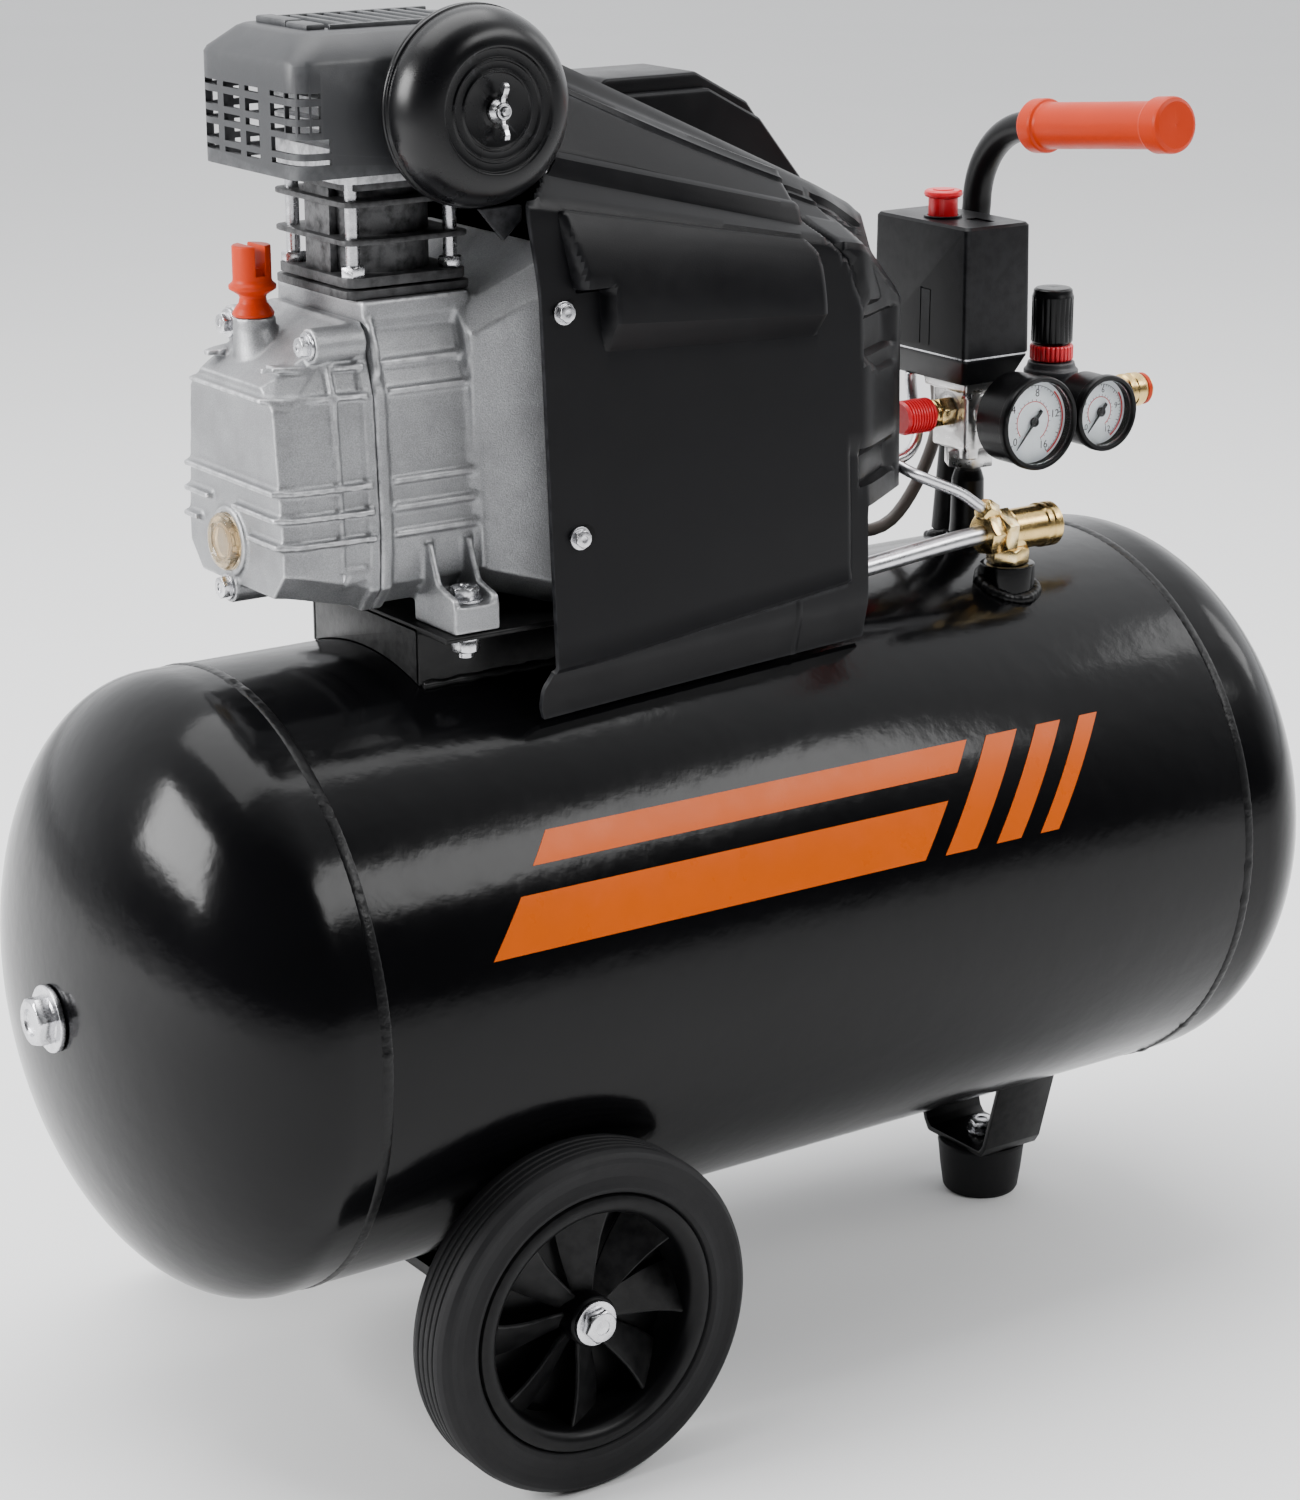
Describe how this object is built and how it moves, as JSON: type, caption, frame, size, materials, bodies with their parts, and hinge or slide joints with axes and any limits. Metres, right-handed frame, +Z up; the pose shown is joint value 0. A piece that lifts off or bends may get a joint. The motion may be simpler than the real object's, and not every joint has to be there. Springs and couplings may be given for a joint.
{
  "type": "air compressor",
  "caption": "Wheeled oil-lubricated piston air compressor on a horizontal tank, with finned cylinder, motor shroud, pressure switch, gauges, regulator and bent carrying handle.",
  "frame": {"origin": "on the ground, midway between the tank's ends and between the wheels", "axes": "+X along the tank towards the carrying handle and foot, -Y towards the faces of the gauges, +Z up"},
  "size_m": [0.7416, 0.354, 0.698],
  "materials": {
    "tank_paint": "gloss black powder coat with light orange peel",
    "black_steel": "satin black paint on steel",
    "black_plastic": "moulded black plastic with a fine grain",
    "grey_plastic": "moulded dark grey plastic",
    "tyre_rubber": "matt black rubber",
    "foot_rubber": "matt black rubber",
    "cast_aluminium": "shot-blasted die casting",
    "cast_iron": "heat-resistant black paint on cast iron",
    "zinc_steel": "bright zinc plating",
    "aluminium_tube": "drawn aluminium tube",
    "brass": "machined brass",
    "orange_plastic": "moulded orange plastic",
    "red_plastic": "moulded red plastic",
    "amber_lens": "clear amber-tinted plastic",
    "cable_sheath": "dark cable sheath",
    "filter_foam": "open-cell filter foam",
    "gauge_lens": "clear gauge window",
    "dial_face": "printed white dial"
  },
  "bodies": {
    "chassis": {"breather_plug": "orange_plastic", "check_valve": "brass", "crankcase": "cast_aluminium", "crankcase_cover": "cast_aluminium", "cylinder": "cast_iron", "cylinder_head": "cast_aluminium", "discharge_tube": "aluminium_tube", "filter_base": "black_plastic", "filter_cap": "black_plastic", "filter_element": "filter_foam", "foot_bolt": "zinc_steel", "foot_bracket": "black_steel", "gauge_case_line": "black_steel", "gauge_case_tank": "black_steel", "handle_grip": "orange_plastic", "handle_tube": "black_steel", "head_cover": "grey_plastic", "inspection_plug_left": "zinc_steel", "inspection_plug_right": "zinc_steel", "manifold": "cast_aluminium", "manifold_nipple": "black_steel", "motor_cable": "cable_sheath", "motor_end_shield": "cast_aluminium", "motor_stator": "zinc_steel", "outlet_coupling": "brass", "pressure_switch_base": "black_plastic", "pressure_switch_cover": "black_plastic", "pump_platform": "black_steel", "regulator_body": "grey_plastic", "rubber_foot": "foot_rubber", "run_capacitor": "black_plastic", "safety_valve_body": "brass", "shroud_front": "black_plastic", "shroud_rear": "black_plastic", "sight_glass": "amber_lens", "tank_head_left": "tank_paint", "tank_head_right": "tank_paint", "tank_shell": "tank_paint", "unloader_tube": "aluminium_tube", "wheel_bolt_front": "zinc_steel", "wheel_bolt_rear": "zinc_steel", "wheel_bracket": "black_steel"},
    "wheel_front": {"wheel_rim_front": "black_plastic", "tyre_front": "tyre_rubber"},
    "wheel_rear": {"wheel_rim_rear": "black_plastic", "tyre_rear": "tyre_rubber"},
    "crank": {"crankshaft": "zinc_steel", "rotor": "zinc_steel", "cooling_fan": "black_plastic"},
    "piston_group": {"piston": "cast_aluminium", "wrist_pin": "zinc_steel"},
    "conrod": {"connecting_rod": "cast_aluminium"},
    "knob": {"switch_knob": "red_plastic"},
    "relief_cap": {"safety_valve_cap": "red_plastic"},
    "needle_tank": {"gauge_needle_tank": "black_steel"},
    "needle_line": {"gauge_needle_line": "black_steel"},
    "regulator_turn": {"regulator_knob": "black_plastic"},
    "lock_turn": {"regulator_lock_ring": "red_plastic"},
    "drain_turn": {"drain_valve": "brass"},
    "wing_turn": {"filter_wing_nut": "zinc_steel"}
  },
  "joints": [
    {"name": "wheel_front_spin", "type": "hinge", "parent": "chassis", "child": "wheel_front", "pos_m": [-0.1644, -0.1585, 0.0875], "axis": [0, 1, 0], "continuous": true},
    {"name": "wheel_rear_spin", "type": "hinge", "parent": "chassis", "child": "wheel_rear", "pos_m": [-0.1644, 0.1585, 0.0875], "axis": [0, 1, 0], "continuous": true},
    {"name": "crank_spin", "type": "hinge", "parent": "chassis", "child": "crank", "pos_m": [0, 0, 0.492], "axis": [1, 0, 0], "continuous": true},
    {"name": "piston_slide", "type": "slide", "parent": "chassis", "child": "piston_group", "axis": [0, 0, 1], "range_m": [0, 0.04]},
    {"name": "conrod_swing", "type": "hinge", "parent": "piston_group", "child": "conrod", "pos_m": [-0.1745, 0, 0.562], "axis": [1, 0, 0], "range_deg": [-13, 13]},
    {"name": "switch_knob_press", "type": "slide", "parent": "chassis", "child": "knob", "axis": [0, 0, 1], "range_m": [-0.006, 0]},
    {"name": "safety_valve_pull", "type": "slide", "parent": "chassis", "child": "relief_cap", "axis": [-1, 0, 0], "range_m": [0, 0.003], "stiffness_N_per_m": 2000},
    {"name": "gauge_needle_tank_turn", "type": "hinge", "parent": "chassis", "child": "needle_tank", "pos_m": [0.1925, -0.054, 0.462], "axis": [0, 1, 0], "range_deg": [0, 270], "stiffness_Nm_per_rad": 0.001},
    {"name": "gauge_needle_line_turn", "type": "hinge", "parent": "chassis", "child": "needle_line", "pos_m": [0.2388, -0.054, 0.462], "axis": [0, 1, 0], "range_deg": [0, 270], "stiffness_Nm_per_rad": 0.001},
    {"name": "regulator_knob_turn", "type": "hinge", "parent": "chassis", "child": "regulator_turn", "pos_m": [0.2388, -0.012, 0.508], "axis": [0, 0, 1], "range_deg": [0, 900]},
    {"name": "regulator_lock_turn", "type": "hinge", "parent": "chassis", "child": "lock_turn", "pos_m": [0.2388, -0.012, 0.488], "axis": [0, 0, 1], "range_deg": [0, 90]},
    {"name": "drain_valve_turn", "type": "hinge", "parent": "chassis", "child": "drain_turn", "pos_m": [0.1178, 0, 0.071], "axis": [0, 0, 1], "range_deg": [0, 360]},
    {"name": "filter_wing_nut_turn", "type": "hinge", "parent": "chassis", "child": "wing_turn", "pos_m": [-0.1535, -0.0818, 0.6515], "axis": [0, 1, 0], "range_deg": [0, 360]}
  ]
}
